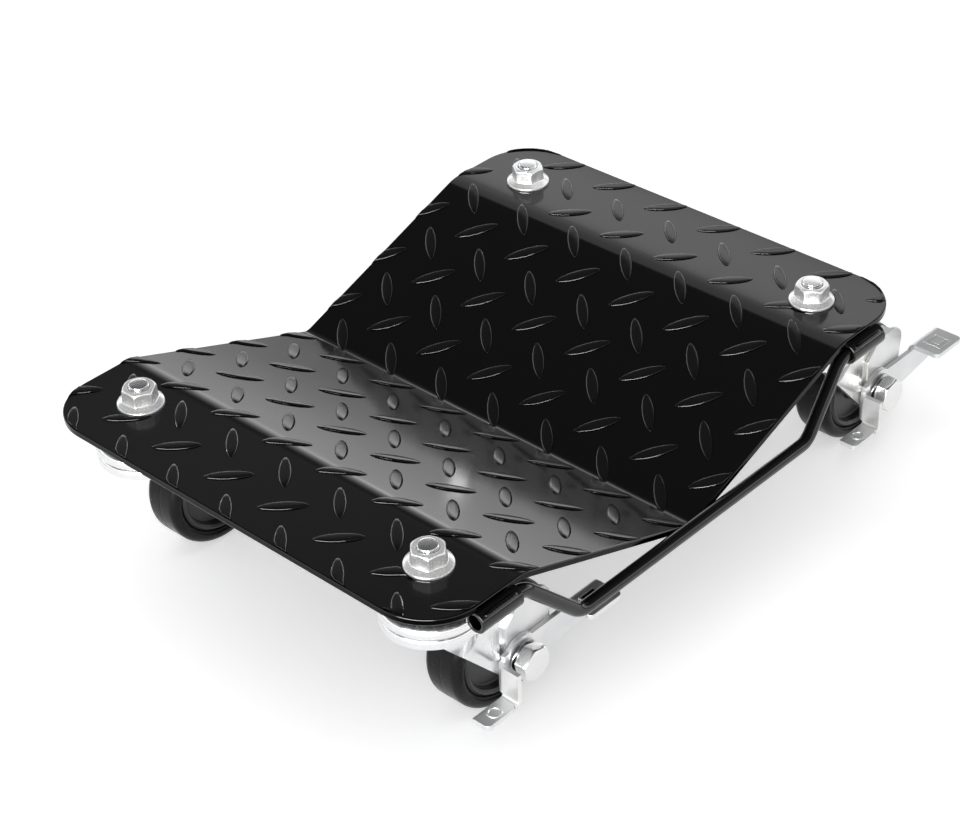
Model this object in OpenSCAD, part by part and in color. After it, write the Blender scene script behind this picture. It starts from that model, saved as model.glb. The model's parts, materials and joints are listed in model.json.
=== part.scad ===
// Low four-wheel dolly that carries one tyre of a vehicle in the valley of a bent tread plate.
// X runs along the plate from flange to flange, Y along the valley, Z up from the floor.

/* [Deck plate] */
// Length over both flat flanges
deck_l = 406.4; // [390:0.1:440]
// Width along the valley
deck_w = 304.8; // [295:0.1:340]
// Thickness of the steel plate
plate_t = 4; // [3:0.5:6]
// Length of each flat flange, up to its bend line
flange_w = 67; // [66:0.5:76]
// Drop from the flange tops to the bend line of the valley
valley_drop = 49.5; // [36:0.5:52]
// Inside radius of the two outer bends
bend_r = 10; // [6:1:14]
// Inside radius of the valley bend
valley_r = 12; // [6:1:20]
// Radius of the plate's corners
corner_r = 34; // [24:1:36]

/* [Tread] */
// Length of one raised lug
lug_l = 28; // [20:1:32]
// Width of one raised lug
lug_w = 7.5; // [5:0.5:10]
// Height of the lugs above the plate
lug_h = 1.2; // [0.8:0.1:2]
// Lug pitch along the sheet, before bending
lug_pitch_x = 43; // [38:0.5:50]
// Lug pitch across the sheet
lug_pitch_y = 42; // [38:0.5:50]

/* [Carry handle] */
// Diameter of the handle rod
rod_d = 8; // [6:0.5:9]
// Run of each leg along X, from the sleeve to the grip's bend point
leg_run = 43; // [34:1:50]
// Distance from the pivot axis to the grip
handle_reach = 36; // [32:0.5:36]
// Middle radius of the rod's bends
rod_bend_r = 14; // [12:1:16]
// Outside diameter of the two pivot sleeves
sleeve_d = 13; // [12.5:0.5:13]
// Length of each pivot sleeve
sleeve_l = 30; // [20:1:34]
// Distance from the inner end of a sleeve outwards to the caster bolt
sleeve_in = 20.4; // [16:0.2:22]
// Air between the hanging rod and the plate's edge
rest_gap = 0.6; // [0.4:0.1:2]

/* [Caster frame] */
// Distance from a caster bolt to the end of its flange
bolt_end = 40.8; // [38:0.1:44]
// Distance from a caster bolt to the side edge of the deck
bolt_side = 40.9; // [40.5:0.1:46]
// Height of a caster, from the floor to the underside of the flange
caster_h = 108; // [105:0.5:120]
// Horizontal distance from the swivel axis to the axle
trail = 41; // [38:0.5:41.5]
// Outside radius of the fork's crown
crown_r = 28.5; // [27.5:0.1:29]
// Height of the skirt below the crown's top
crown_skirt = 6.2; // [5:0.1:8]
// Thickness of the fork's pressed sheet
fork_t = 3; // [2.5:0.5:4]
// Clear gap between the legs
leg_gap = 32; // [30.5:0.1:33]
// Radius of a leg's rounded end
boss_r = 14.5; // [13:0.5:16]

/* [Swivel bearing] */
// Outside radius of the top raceway
race_r = 29; // [28:0.5:30]
// Depth of the top raceway's dish
race_depth = 15; // [13:0.5:16]
// Thickness of the pressed raceways
race_t = 2.5; // [2:0.1:3]
// Diameter of an upper ball
upper_ball_d = 6; // [5:0.5:6.5]
// Radius of the ring that the lower balls run on
lower_track_r = 11.6; // [11.2:0.1:12]
// Diameter of a lower ball
lower_ball_d = 4; // [3:0.5:4]
// Outside radius of the lower raceway
lower_race_r = 14.8; // [14.2:0.1:14.9]
// Thread diameter of the kingpin
stud_d = 12; // [10:1:12]
// Diameter of the kingpin's shoulder
shoulder_d = 15; // [14:0.5:16]

/* [Wheel] */
// Outside diameter of the tyre
wheel_d = 76; // [70:0.5:80]
// Width of the tyre
wheel_w = 25; // [20:0.5:25.5]
// Radius where the tyre meets its core
core_r = 30; // [28:0.5:32]
// Width of the core's rim, between the recess and the tyre
rim_w = 4; // [3:0.5:6]
// Radius of the tyre's shoulders
tyre_edge_r = 5; // [3:0.5:6]
// Width of the core's flat face
core_w = 22; // [18:0.5:22.5]
// Radius of the core's hub
hub_r = 12; // [11:0.5:13]
// Outside diameter of the hub sleeve
hub_sleeve_d = 16; // [15:0.5:18]
// Diameter of the axle bolt
axle_d = 12; // [10:0.5:12]

/* [Side brake] */
// Thickness of the brake cam plate
cam_t = 2.5; // [2:0.5:3]
// Thickness of the brake lever
lever_t = 3; // [2.5:0.5:3.5]
// Thickness of the wave spring under the bolt head
spring_t = 2; // [1.5:0.1:2.5]
// Length of the rear pedal
rear_pedal_l = 26; // [22:1:28]
// Width of the rear pedal, outwards from the lever
rear_pedal_w = 18.5; // [14:0.5:22]
// Length of the front pedal
front_pedal_l = 25; // [18:1:26]
// Width of the front pedal, outwards from the lever
front_pedal_w = 13; // [12:0.5:18]
// Height of the rear pedal's top above the axle
rear_pedal_z = 15.5; // [14:0.5:17.5]
// Depth of the front pedal's top below the axle
front_pedal_z = 14; // [12:0.5:15]

/* [Hex parts] */
// Width across flats of the bolt heads and lock nuts
hex_af = 19; // [18:0.5:20]
// Height of a bolt head
head_h = 8.5; // [6:0.5:9]
// Height of a lock nut
lock_nut_h = 10; // [8:0.5:12]
// Width across flats of the flange nuts on the deck
flange_nut_af = 18; // [17:0.5:19]
// Flange diameter of those nuts
flange_nut_d = 27; // [25:0.5:28]
// Height of those nuts
flange_nut_h = 12; // [10:0.5:14]

/* [Hidden] */
// Air between pieces that slide past each other
gap = 0.3;
// Radial air of a pin or a shaft in its bore
run = 0.1;
// Air between a ball and the race that it rolls on
ball_gap = 0.05;
// Depth of the ball grooves
upper_groove = 0.8;
lower_groove = 0.5;
// How far joined solids reach into each other
sink = 0.6;
// How far arcs stand proud of the lines that they run into
bleed = 0.01;
// How much thicker a rod is in its bends, and how far the straights reach into them
rod_step = 0.04;
rod_bleed = 0.3;
// Inside radius of the lever's folds
fold_r = 1.5;

// Deck: half lengths, slope angle and bend geometry
half_l = deck_l / 2;
half_w = deck_w / 2;
deck_z = caster_h + plate_t;
bend_x = half_l - flange_w;
slope_a = atan(valley_drop / bend_x);
slope_l = norm([bend_x, valley_drop]);
outer_bend_r = bend_r + plate_t;
bend_tan = outer_bend_r * tan(slope_a / 2);
valley_tan = valley_r * tan(slope_a);
valley_centre_z = deck_z - valley_drop + valley_r / cos(slope_a);
bolt_x = half_l - bolt_end;
bolt_y = half_w - bolt_side;
hole_d = stud_d + 1;
lug_arc_r = (lug_l * lug_l + lug_w * lug_w) / (4 * lug_w);
// Place of the lug lattice on the sheet, from the middle of the valley
lug_start = [8, 2];

// Handle: pivot axis and hanging angle
pivot_y = -(half_w - 0.9);
pivot_z = caster_h - sleeve_d / 2;
grip_y = -(half_w + rod_d / 2 + rest_gap);
hang_a = asin((pivot_y - grip_y) / handle_reach);
sleeve_x = bolt_x - sleeve_in;
leg_x = sleeve_x - 6;
grip_x = sleeve_x - leg_run;
leg_a = atan2(handle_reach, leg_x - grip_x);
leg_l = norm([handle_reach, leg_x - grip_x]);
rod_tan = rod_bend_r * tan(leg_a / 2);
rod_end_x = sleeve_x + sleeve_l - 12;

// Swivel bearing: heights from the underside of the flange down
upper_ball_r = upper_ball_d / 2;
upper_track_r = race_r - race_t - upper_ball_r - 2;
lower_ball_r = lower_ball_d / 2;
race_bottom_z = caster_h - race_depth - race_t;
upper_ball_z = race_bottom_z + upper_groove - upper_ball_r - gap;
crown_z = upper_ball_z - upper_ball_r - ball_gap + upper_groove;
crown_low_z = crown_z - fork_t;
skirt_z = crown_z - crown_skirt;
lower_ball_z = crown_low_z + lower_groove - lower_ball_r - ball_gap;
lower_race_z = lower_ball_z - lower_ball_r - gap + lower_groove;
head_top_z = lower_race_z - race_t;
race_ring_r = upper_track_r - 4;
dish_r = race_ring_r - 4.5;

// Fork and wheel
axle_z = wheel_d / 2;
leg_in = leg_gap / 2;
leg_out = leg_in + fork_t;
boss_at = [trail, axle_z];
// Side walls: flush with the brake cam, joggled in to the legs, and flared out to the crown above
wall_out = leg_out + cam_t;
wall_x = -16;
joggle_x = trail - boss_r;
joggle_l = cam_t + 0.5;
leg_rear_x = crown_r - 4;
flare_h = 18.5;
tyre_r = wheel_d / 2;
rib_h = 2.5;

// Brake stack, outwards from the leg
cam_y = leg_out + cam_t;
lever_in_y = cam_y + gap;
lever_y = lever_in_y + lever_t;
spring_y = lever_y + gap + spring_t;
fold_out_r = fold_r + lever_t;
groove_w = 2.5;
cam_front_x = joggle_x + joggle_l + groove_w - trail;
ear = [26, 34.5];
ear_r = 10;
cam_step_z = 22;
lever_hub_r = 13.5;
rear_arm_x = 34;
front_arm_x = -14;
emboss_w = 1.3;
emboss_h = 0.5;

CORNERS = [["left_brake", -1, -1], ["right_brake", 1, -1], ["left_plain", -1, 1], ["right_plain", 1, 1]];
CASTER_PIECES = ["kingpin", "top_race", "swivel_balls", "fork", "lower_race",
    "hub_sleeve", "wheel_core", "tyre", "axle_bolt", "axle_nut"];
BRAKE_PIECES = ["brake_cam", "brake_lever", "brake_spring"];
DECK_PIECES = ["deck_plate", "flange_nuts", "handle_sleeves", "carry_handle"];
$fn = 64;

// Point where the line from p touches the circle of radius r at c, on the side given by turn
function tangent_point(p, c, r, turn) =
    let (v = p - c, a = atan2(v.y, v.x) + turn * acos(r / norm(v))) c + r * [cos(a), sin(a)];

// Plan position of a point that lies at the distance s along the sheet from the valley
function plan_x(s) = abs(s) < slope_l ? s * cos(slope_a) : sign(s) * (bend_x + abs(s) - slope_l);

// Part of a flat ring between the radii r0 and r1 and the angles a0 and a1, less than 180 degrees
module ring_sector(r0, r1, a0, a1) {
    reach = 2 * r1;
    mid = (a0 + a1) / 2;
    intersection() {
        difference() {
            circle(r1);
            circle(r0);
        }
        polygon([[0, 0], reach * [cos(a0), sin(a0)], reach * [cos(mid), sin(mid)], reach * [cos(a1), sin(a1)]]);
    }
}

// Ring with a round section, such as a ball groove
module torus(ring_r, tube_r) {
    rotate_extrude() translate([ring_r, 0]) circle(tube_r, $fn = 32);
}

// Hexagon bar with its outer corners turned down, standing on z = 0
module hex_bar(af, h, bore_d = 0) {
    corner = af / sqrt(3);
    difference() {
        intersection() {
            cylinder(r = corner, h = h, $fn = 6);
            cylinder(r1 = corner + h, r2 = corner - 0.9, h = h + 0.9);
        }
        if (bore_d > 0) translate([0, 0, -1]) cylinder(d = bore_d, h = h + 2);
    }
}

// Carries what follows to the swivel axis of one corner
module at_corner(c) {
    translate([c[1] * bolt_x, c[2] * bolt_y, 0]) children();
}

// Carries what follows to the axle of a caster, with its own z axis pointing towards +Y
module at_axle() {
    translate([trail, 0, axle_z]) rotate([-90, 0, 0]) children();
}

// Everything below a surface that follows the bent deck, h above its top; the bend arcs are bled into the flats
module below_deck(h) {
    up = [-sin(slope_a), cos(slope_a)];
    bend_at = [bend_x + bend_tan, deck_z - outer_bend_r];
    valley_at = [0, valley_centre_z];
    bend_end = bend_at + (outer_bend_r + h) * up;
    valley_end = [valley_at.x - (valley_r - h) * up.x, valley_at.y - (valley_r - h) * up.y];
    side = half_l + 20;
    rotate([90, 0, 0]) linear_extrude(deck_w + 20, center = true) difference() {
        union() {
            polygon([[-side, 1], [-side, deck_z + h], [-bend_at.x, deck_z + h], -[bend_at.x, -bend_at.y],
                [-bend_end.x, bend_end.y], [-valley_end.x, valley_end.y], valley_end, bend_end, bend_at,
                [bend_at.x, deck_z + h], [side, deck_z + h], [side, 1]]);
            for (x = [-bend_at.x, bend_at.x]) translate([x, bend_at.y]) circle(outer_bend_r + h + bleed);
        }
        translate(valley_at) circle(valley_r - h + bleed);
    }
}

// Plan outline of the deck with its round corners
module deck_outline() {
    square([deck_l - 2 * corner_r, deck_w], center = true);
    square([deck_l, deck_w - 2 * corner_r], center = true);
    for (x = [-1, 1], y = [-1, 1]) translate([x * (half_l - corner_r), y * (half_w - corner_r)])
        circle(corner_r, $fn = 128);
}

// Pointed oval of one lug, along X
module lug_outline() {
    intersection() {
        translate([0, lug_arc_r - lug_w / 2]) circle(lug_arc_r);
        translate([0, lug_w / 2 - lug_arc_r]) circle(lug_arc_r);
    }
}

// Plan of the whole tread: two lattices of lugs that cross at a right angle, clear of the deck's nuts
module tread_plan() {
    nx = ceil((slope_l + flange_w) / lug_pitch_x);
    ny = ceil(half_w / lug_pitch_y);
    difference() {
        for (turn = [0, 1], i = [-nx : nx], j = [-ny : ny]) {
            x = plan_x(lug_start.x + (i + turn / 2) * lug_pitch_x);
            y = lug_start.y + (j + turn / 2) * lug_pitch_y;
            if (abs(x) < half_l && abs(y) < half_w) translate([x, y]) rotate(45 - 90 * turn) lug_outline();
        }
        for (c = CORNERS) at_corner(c) circle(d = flange_nut_d + 2);
    }
}

module deck_plate() {
    color("#1a1a1c") difference() {
        intersection() {
            union() {
                below_deck(0);
                intersection() {
                    below_deck(lug_h);
                    translate([0, 0, 2]) linear_extrude(2 * deck_z) tread_plan();
                }
            }
            linear_extrude(2 * deck_z) deck_outline();
        }
        below_deck(-plate_t);
        for (c = CORNERS) at_corner(c) cylinder(d = hole_d, h = 2 * deck_z);
    }
}

module flange_nuts() {
    flange_h = 2.6;
    color("#d8dade") for (c = CORNERS) at_corner(c) translate([0, 0, deck_z]) difference() {
        union() {
            cylinder(d = flange_nut_d, h = flange_h - 1);
            translate([0, 0, flange_h - 1]) cylinder(d1 = flange_nut_d, d2 = flange_nut_af + 3, h = 2.2);
            hex_bar(flange_nut_af, flange_nut_h);
        }
        translate([0, 0, -1]) cylinder(d = stud_d + 2 * ball_gap, h = flange_nut_h + 2);
    }
}

// One pivot sleeve with the weld beads that hold it under the flange's edge, along X from x = 0
module pivot_sleeve() {
    bead_r = 1.8;
    bead_end = 3;
    difference() {
        union() {
            rotate([0, 90, 0]) cylinder(d = sleeve_d, h = sleeve_l);
            for (side = [-1, 1]) translate([bead_end, side * (sleeve_d / 2 - bead_r - sink), sleeve_d / 2 - bead_r])
                rotate([0, 90, 0]) cylinder(r = bead_r, h = sleeve_l - 2 * bead_end);
        }
        translate([-1, 0, 0]) rotate([0, 90, 0]) cylinder(d = rod_d + 2 * run, h = sleeve_l + 2);
    }
}

module handle_sleeves() {
    color("#141416") translate([0, pivot_y, pivot_z]) for (side = [0, 1]) mirror([side, 0, 0])
        translate([sleeve_x, 0, 0]) pivot_sleeve();
}

// Straight length of rod from the point p in the XZ plane, in the direction a, 0 being +X and 90 up
module rod_straight(p, a, l) {
    translate([p.x, 0, p.y]) rotate([0, 90 - a, 0]) translate([0, 0, -rod_bleed])
        cylinder(d = rod_d, h = l + 2 * rod_bleed);
}

// Bend of the rod in the XZ plane round the centre c, between the angles a0 and a1
module rod_bend(c, a0, a1) {
    translate([c.x, 0, c.y]) rotate([90, 0, 0]) rotate([0, 0, a0])
        rotate_extrude(angle = a1 - a0) translate([rod_bend_r, 0]) circle(rod_d / 2 + rod_step, $fn = 48);
}

module carry_handle() {
    color("#141416") translate([0, pivot_y, pivot_z]) rotate([-hang_a, 0, 0]) {
        for (side = [0, 1]) mirror([side, 0, 0]) {
            rod_straight([leg_x + rod_tan, 0], 0, rod_end_x - leg_x - rod_tan);
            rod_bend([leg_x + rod_tan, -rod_bend_r], 90, 90 + leg_a);
            rod_straight([leg_x, 0] - rod_tan * [cos(leg_a), sin(leg_a)], leg_a - 180, leg_l - 2 * rod_tan);
            rod_bend([grip_x - rod_tan, rod_bend_r - handle_reach], -90, leg_a - 90);
        }
        rod_straight([rod_tan - grip_x, -handle_reach], 0, 2 * (grip_x - rod_tan));
    }
}

// Bolt that clamps the raceways to the deck: head, shoulder for the fork, and threaded stud
module kingpin() {
    stud_top_z = deck_z + flange_nut_h + 2;
    color("#c9ccd0") {
        translate([0, 0, head_top_z - head_h]) hex_bar(hex_af, head_h);
        translate([0, 0, head_top_z]) cylinder(d = shoulder_d, h = caster_h - race_t - head_top_z);
        translate([0, 0, caster_h - race_t - sink]) cylinder(d = stud_d, h = stud_top_z - caster_h + race_t + sink - 1);
        translate([0, 0, stud_top_z - 1]) cylinder(d1 = stud_d, d2 = stud_d - 2, h = 1);
    }
}

// Pressed cup between the flange and the upper balls: a neck, a flat ring and a round shoulder down to the rim
module top_race() {
    shoulder_r = 4.5;
    ring_z = caster_h - race_depth;
    rim_z = crown_z + 0.8;
    shoulder_at = [race_r - shoulder_r, ring_z - shoulder_r];
    bore_r = stud_d / 2 + gap;
    neck_in = race_t * tan(atan2(race_depth, race_ring_r - dish_r) / 2);
    inner_cut = (shoulder_r - race_t) / 2;
    color("#d2d4d8") rotate_extrude() difference() {
        polygon([[bore_r, rim_z], [bore_r, caster_h], [dish_r, caster_h], [race_ring_r, ring_z],
            for (a = [90 : -10 : 0]) shoulder_at + shoulder_r * [cos(a), sin(a)], [race_r, rim_z]]);
        polygon([[bore_r - 1, rim_z - 1], [bore_r - 1, caster_h - race_t],
            [dish_r - neck_in, caster_h - race_t], [race_ring_r - neck_in, ring_z - race_t],
            [race_r - race_t - inner_cut, ring_z - race_t], [race_r - race_t, ring_z - race_t - inner_cut],
            [race_r - race_t, rim_z - 1]]);
        translate([upper_track_r, upper_ball_z]) circle(upper_ball_r + gap);
    }
}

// Both rings of balls, above and below the crown
module swivel_balls() {
    upper_n = floor(180 / asin((upper_ball_r + gap) / upper_track_r));
    lower_n = floor(180 / asin((lower_ball_r + gap) / lower_track_r));
    color("#b9bcc2") {
        for (i = [1 : upper_n]) rotate(i * 360 / upper_n) translate([upper_track_r, 0, upper_ball_z])
            sphere(upper_ball_r, $fn = 24);
        for (i = [1 : lower_n]) rotate(i * 360 / lower_n) translate([lower_track_r, 0, lower_ball_z])
            sphere(lower_ball_r, $fn = 24);
    }
}

// Dished ring under the crown, clamped between the kingpin's head and its shoulder
module lower_race() {
    bore_r = shoulder_d / 2 + ball_gap;
    rim_t = 1.4;
    color("#c4c7cc") difference() {
        rotate_extrude() {
            translate([bore_r, head_top_z]) square([lower_race_r - bore_r, race_t]);
            translate([lower_race_r - rim_t, head_top_z]) square([rim_t, crown_low_z - 1 - head_top_z]);
        }
        translate([0, 0, lower_ball_z]) torus(lower_track_r, lower_ball_r + gap);
    }
}

// Side view of a wall and its leg: from the crown down to the round end at the axle
module leg_profile() {
    front = [wall_x, skirt_z];
    rear = [leg_rear_x, crown_low_z + sink];
    polygon([[front.x, rear.y], front, tangent_point(front, boss_at, boss_r, 1), boss_at,
        tangent_point(rear, boss_at, boss_r, -1), rear]);
    translate(boss_at) circle(boss_r);
}

// Plan of the wall on the +Y side: straight, then joggled in to the leg
module wall_plan() {
    lean = fork_t * tan(atan2(cam_t, joggle_l) / 2);
    inner = wall_out - fork_t;
    polygon([[wall_x - 2, inner], [wall_x - 2, wall_out], [joggle_x, wall_out], [joggle_x + joggle_l, leg_out],
        [trail + boss_r, leg_out], [trail + boss_r, leg_in], [joggle_x + joggle_l - lean, leg_in],
        [joggle_x - lean, inner]]);
}

// Cone that flares the two walls out to the crown's skirt, only where it stands outside the walls
module crown_flare() {
    low_r = wall_out - gap;
    difference() {
        rotate_extrude() polygon([[crown_r - fork_t, skirt_z + sink], [crown_r, skirt_z + sink], [crown_r, skirt_z],
            [low_r, skirt_z - flare_h], [low_r - fork_t + sink, skirt_z - flare_h], [crown_r - fork_t, skirt_z]]);
        translate([0, 0, skirt_z - flare_h - 1]) linear_extrude(flare_h + sink + 2)
            square([3 * crown_r, 2 * (wall_out - fork_t + gap)], center = true);
    }
}

// Pressed fork: crown with its skirt and ball grooves, flared side walls and two legs
module fork() {
    crown_bend = fork_t;
    bore_r = shoulder_d / 2 + run;
    color("#dcdee2") difference() {
        union() {
            rotate_extrude() {
                translate([bore_r, crown_low_z]) square([crown_r - crown_bend - bore_r, fork_t]);
                translate([crown_r - crown_bend, crown_low_z]) ring_sector(0, crown_bend, 0, 90);
                translate([crown_r - fork_t, skirt_z]) square([fork_t, crown_low_z - skirt_z]);
            }
            intersection() {
                union() {
                    for (side = [0, 1]) mirror([0, side, 0]) linear_extrude(crown_low_z + sink) wall_plan();
                    crown_flare();
                }
                rotate([90, 0, 0]) linear_extrude(3 * crown_r, center = true) leg_profile();
            }
        }
        translate([0, 0, upper_ball_z]) torus(upper_track_r, upper_ball_r + ball_gap);
        translate([0, 0, lower_ball_z]) torus(lower_track_r, lower_ball_r + ball_gap);
        at_axle() cylinder(d = axle_d + 2 * run, h = 3 * leg_out, center = true);
    }
}

// Steel tube round the axle bolt, clamped between the legs, on which the wheel turns
module hub_sleeve() {
    color("#a9adb3") at_axle() difference() {
        cylinder(d = hub_sleeve_d, h = leg_gap - 2 * ball_gap, center = true);
        cylinder(d = axle_d + 2 * run, h = leg_gap + 2, center = true);
    }
}

// Moulded wheel centre: hub, recessed web, and a rim with a lip on each face and a rib that keys the tyre
module wheel_core() {
    half_core = core_w / 2;
    rim_in = core_r - rim_w;
    recess = 5;
    lip_r = 0.9;
    color("#17181a") at_axle() rotate_extrude() {
        bore_r = hub_sleeve_d / 2 + run;
        translate([bore_r, -leg_in + gap]) square([hub_r - bore_r, leg_gap - 2 * gap]);
        translate([hub_r - sink, recess - half_core]) square([rim_in - hub_r + 2 * sink, core_w - 2 * recess]);
        translate([rim_in, -half_core]) square([rim_w, core_w]);
        for (side = [-1, 1]) translate([core_r - rim_w / 2, side * half_core]) circle(lip_r, $fn = 24);
        translate([core_r - sink, -half_core / 3]) square([rib_h + sink, core_w / 3]);
    }
}

// Tyre moulded on the core, with round shoulders and a step down to the core's face
module tyre() {
    half_core = core_w / 2;
    shoulder_at = tyre_r - tyre_edge_r;
    step_r = core_r + 2;
    tread_w = wheel_w - 2 * tyre_edge_r;
    color("#0e0f10") at_axle() rotate_extrude() difference() {
        union() {
            translate([core_r, -half_core]) square([shoulder_at - core_r, core_w]);
            difference() {
                union() {
                    translate([step_r, -tread_w / 2]) square([tyre_r - step_r, tread_w]);
                    for (side = [-1, 1]) translate([shoulder_at, side * tread_w / 2]) circle(tyre_edge_r);
                }
                translate([step_r - 2 * tyre_edge_r, -wheel_w]) square([2 * tyre_edge_r, 2 * wheel_w]);
            }
        }
        translate([core_r - 1, -half_core / 3]) square([rib_h + 1, core_w / 3]);
    }
}

// Hex bolt through the legs, its head on the -Y side against whatever the fork carries there
module axle_bolt(head_y) {
    washer_h = 0.8;
    tail = leg_out + lock_nut_h + 1.5;
    color("#e2e4e8") at_axle() {
        translate([0, 0, -head_y - washer_h]) cylinder(d = hex_af - 0.6, h = washer_h);
        translate([0, 0, -head_y - washer_h]) mirror([0, 0, 1]) hex_bar(hex_af, head_h - washer_h);
        translate([0, 0, -head_y - sink]) cylinder(d = axle_d, h = head_y + sink + tail - 1);
        translate([0, 0, tail - 1]) cylinder(d1 = axle_d, d2 = axle_d - 2, h = 1);
    }
}

module axle_nut() {
    color("#cfd2d6") at_axle() translate([0, 0, leg_out]) hex_bar(hex_af, lock_nut_h, axle_d + 2 * ball_gap);
}

// Fixed plate of the side brake: a cheek with an upright front edge and an ear whose top folds in over the tyre
module brake_cam() {
    cheek_r = lever_hub_r - 0.5;
    fold_x = ear.x - ear_r;
    fold_start = 4;
    tyre_air = 0.8;
    neck = [ear.x - 2, 8];
    color("#cdd0d4") translate([trail, -leg_out, axle_z]) {
        rotate([90, 0, 0]) linear_extrude(cam_t) difference() {
            union() {
                intersection() {
                    circle(cheek_r);
                    translate([cam_front_x, -cheek_r]) square(2 * cheek_r);
                }
                polygon([[cam_front_x, 0], [cam_front_x, cam_step_z], [fold_start - 1, ear.y], [fold_x, ear.y],
                    [ear.x, ear.y - ear_r], neck, [0, 0]]);
                translate([fold_x, ear.y - ear_r]) circle(ear_r);
            }
            circle(d = axle_d + 2 * run);
        }
        translate([fold_start, -cam_t, ear.y - cam_t])
            cube([fold_x - fold_start, cam_t + leg_out - wheel_w / 2 - tyre_air, cam_t]);
    }
}

// Flat foot plate with round outer corners, reaching from y = 0 to y = -w and from x = 0 to x = l
module foot_plate(l, w) {
    r = 3;
    linear_extrude(lever_t) {
        translate([0, r - w]) square([l, w - r]);
        translate([r, -w]) square([l - 2 * r, 2 * r]);
        for (x = [r, l - r]) translate([x, r - w]) circle(r);
    }
}

// Pressed rocker lever on the axle bolt: a rear pedal that locks the wheel and a front pedal that frees it
module brake_lever() {
    rear_fold_z = rear_pedal_z - fold_out_r;
    rear_end = rear_arm_x + rear_pedal_l;
    tip_z = 3;
    tip_l = 8;
    arm_root = [8, -10];
    web_root_z = 11.5;
    web_low_z = fold_out_r - front_pedal_z - lever_t;
    web_high_z = 5;
    web_x = front_arm_x - fold_r;
    pedal_w = front_pedal_w - fold_r;
    color("#c7cace") translate([trail, 0, axle_z]) {
        // Cheek round the bolt, the rear arm and the short front arm, all in one plane
        translate([0, -lever_in_y, 0]) rotate([90, 0, 0]) linear_extrude(lever_t) difference() {
            union() {
                circle(lever_hub_r);
                polygon([[0, rear_fold_z], [rear_end, rear_fold_z], [rear_end, tip_z], [rear_end - tip_l, -tip_z],
                    arm_root]);
                polygon([[0, web_root_z], [front_arm_x, web_high_z + tip_z], [front_arm_x, web_low_z],
                    [0, -web_root_z]]);
            }
            circle(d = axle_d + 2 * run);
        }
        // Rear pedal, folded outwards along the arm's top edge
        translate([rear_arm_x, -lever_y - fold_r, 0]) {
            translate([0, 0, rear_fold_z]) rotate([90, 0, 90]) linear_extrude(rear_pedal_l)
                ring_sector(fold_r, fold_out_r, 0, 90);
            translate([0, 0, rear_pedal_z - lever_t]) {
                foot_plate(rear_pedal_l, rear_pedal_w - fold_r);
                translate([rear_pedal_l / 2, fold_r - rear_pedal_w / 2, lever_t - sink]) pedal_frame();
            }
        }
        // Front web, folded outwards along an upright line, then forwards into the pedal
        translate([front_arm_x, -lever_y - fold_r, web_low_z]) linear_extrude(web_high_z - web_low_z)
            ring_sector(fold_r, fold_out_r, 90, 180);
        translate([web_x - lever_t, -lever_y - front_pedal_w, web_low_z])
            cube([lever_t, pedal_w, web_high_z - web_low_z]);
        translate([web_x - fold_out_r, -lever_y - fold_r, web_low_z]) rotate([90, 0, 0])
            linear_extrude(pedal_w) ring_sector(fold_r, fold_out_r, -90, 0);
        translate([web_x - fold_out_r - front_pedal_l + lever_t, -lever_y - fold_r, -front_pedal_z - lever_t]) {
            foot_plate(front_pedal_l - lever_t, pedal_w);
            translate([(front_pedal_l - lever_t) / 2, -pedal_w / 2, lever_t - sink]) pedal_ring();
        }
    }
}

// Raised square frame that keeps a shoe from slipping off the rear pedal
module pedal_frame() {
    frame_at = rear_pedal_w / 3;
    difference() {
        translate([-frame_at, -frame_at, 0]) cube([2 * frame_at, 2 * frame_at, sink + emboss_h]);
        translate([emboss_w - frame_at, emboss_w - frame_at, 0])
            cube([2 * (frame_at - emboss_w), 2 * (frame_at - emboss_w), sink + 1]);
    }
    translate([-frame_at / 2, -frame_at / 2, 0]) cube([frame_at, frame_at, sink + emboss_h]);
}

// Raised ring on the front pedal
module pedal_ring() {
    difference() {
        cylinder(r = front_pedal_w / 3, h = sink + emboss_h);
        cylinder(r = front_pedal_w / 3 - emboss_w, h = sink + 1);
    }
}

// Wave spring that holds the lever where it is put
module brake_spring() {
    color("#9da1a7") at_axle() translate([0, 0, -spring_y]) difference() {
        cylinder(r = axle_d / 2 + 4.5, h = spring_t);
        translate([0, 0, -1]) cylinder(d = axle_d + 2 * gap, h = spring_t + 2);
    }
}

deck_plate();
flange_nuts();
handle_sleeves();
carry_handle();

for (c = CORNERS) {
    at_corner(c) kingpin();
    at_corner(c) top_race();
    at_corner(c) swivel_balls();
    at_corner(c) fork();
    at_corner(c) lower_race();
    at_corner(c) hub_sleeve();
    at_corner(c) wheel_core();
    at_corner(c) tyre();
    at_corner(c) axle_bolt(c[2] < 0 ? spring_y : leg_out);
    at_corner(c) axle_nut();
}

for (c = CORNERS) if (c[2] < 0) {
    at_corner(c) brake_cam();
    at_corner(c) brake_lever();
    at_corner(c) brake_spring();
}
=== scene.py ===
"""A low swivel-caster dolly for one tyre of a vehicle, photographed from its handle side on a pale floor."""

import json
import math

import bmesh
import bpy
import numpy as np
from mathutils import Matrix, Vector

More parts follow.
